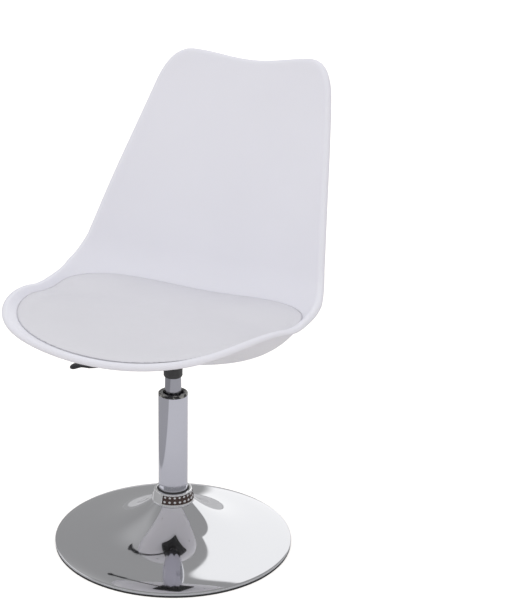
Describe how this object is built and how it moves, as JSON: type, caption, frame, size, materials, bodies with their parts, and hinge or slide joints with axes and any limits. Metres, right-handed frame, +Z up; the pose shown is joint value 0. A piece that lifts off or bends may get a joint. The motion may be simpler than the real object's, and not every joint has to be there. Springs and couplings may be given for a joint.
{
  "type": "swivel chair",
  "caption": "Swivel chair with a moulded bucket shell, fitted seat pad, lever-released gas-lift column and spun trumpet base.",
  "frame": {"origin": "on the floor, on the axis of the column", "axes": "+Z up along the column, -Y the way the sitter faces, +X to the right of someone who looks along +Y"},
  "size_m": [0.4886, 0.553, 0.8067],
  "materials": {
    "chrome": "bright chrome plate",
    "black_steel": "satin black powder coat",
    "black_rubber": "smooth black rubber",
    "black_plastic": "moulded black nylon",
    "zinc_steel": "bright zinc plate",
    "white_shell": "white polypropylene with a soft gloss",
    "pad_board": "bare moulded ply",
    "pad_foam": "open-cell foam",
    "pad_cover": "smooth pale grey imitation leather"
  },
  "bodies": {
    "base": {"base_dish": "chrome", "base_brace": "black_steel", "base_hub": "black_steel", "floor_ring": "black_rubber", "trim_ring": "chrome", "column_seal": "black_rubber", "column_tube": "chrome", "column_bush": "black_plastic", "column_foot": "zinc_steel", "race_lower": "zinc_steel"},
    "spindle": {"bearing_balls": "zinc_steel", "ball_cage": "black_plastic", "race_upper": "zinc_steel", "bump_rubber": "black_rubber", "rod_clip": "zinc_steel", "piston_rod": "zinc_steel", "piston": "black_plastic"},
    "seat": {"gas_cylinder": "chrome", "cylinder_gland": "black_plastic", "taper_socket": "black_steel", "mount_plate": "black_steel", "lever_pin": "zinc_steel", "plate_bolts": "zinc_steel", "bolt_washers": "zinc_steel", "boss_inserts": "zinc_steel", "seat_shell": "white_shell", "pad_screws": "zinc_steel", "pad_board": "pad_board", "pad_foam": "pad_foam", "pad_cover": "pad_cover"},
    "lever": {"lever_rod": "black_steel", "lever_handle": "black_plastic"},
    "button": {"valve_button": "zinc_steel"}
  },
  "joints": [
    {"name": "swivel", "type": "hinge", "parent": "base", "child": "spindle", "pos_m": [0, 0, 0.03], "axis": [0, 0, 1], "continuous": true},
    {"name": "height", "type": "slide", "parent": "spindle", "child": "seat", "axis": [0, 0, 1], "range_m": [0, 0.12]},
    {"name": "lever_lift", "type": "hinge", "parent": "seat", "child": "lever", "pos_m": [-0.04, 0, 0.3377], "axis": [0, 1, 0], "range_deg": [0, 6], "stiffness_Nm_per_rad": 0.6, "springref_deg": -11.46},
    {"name": "button_push", "type": "slide", "parent": "seat", "child": "button", "axis": [0, 0, -1], "range_m": [0, 0.005]}
  ],
  "couplings": [
    {"joint": "button_push", "follows": "lever_lift", "m_per_rad": 0.044}
  ]
}
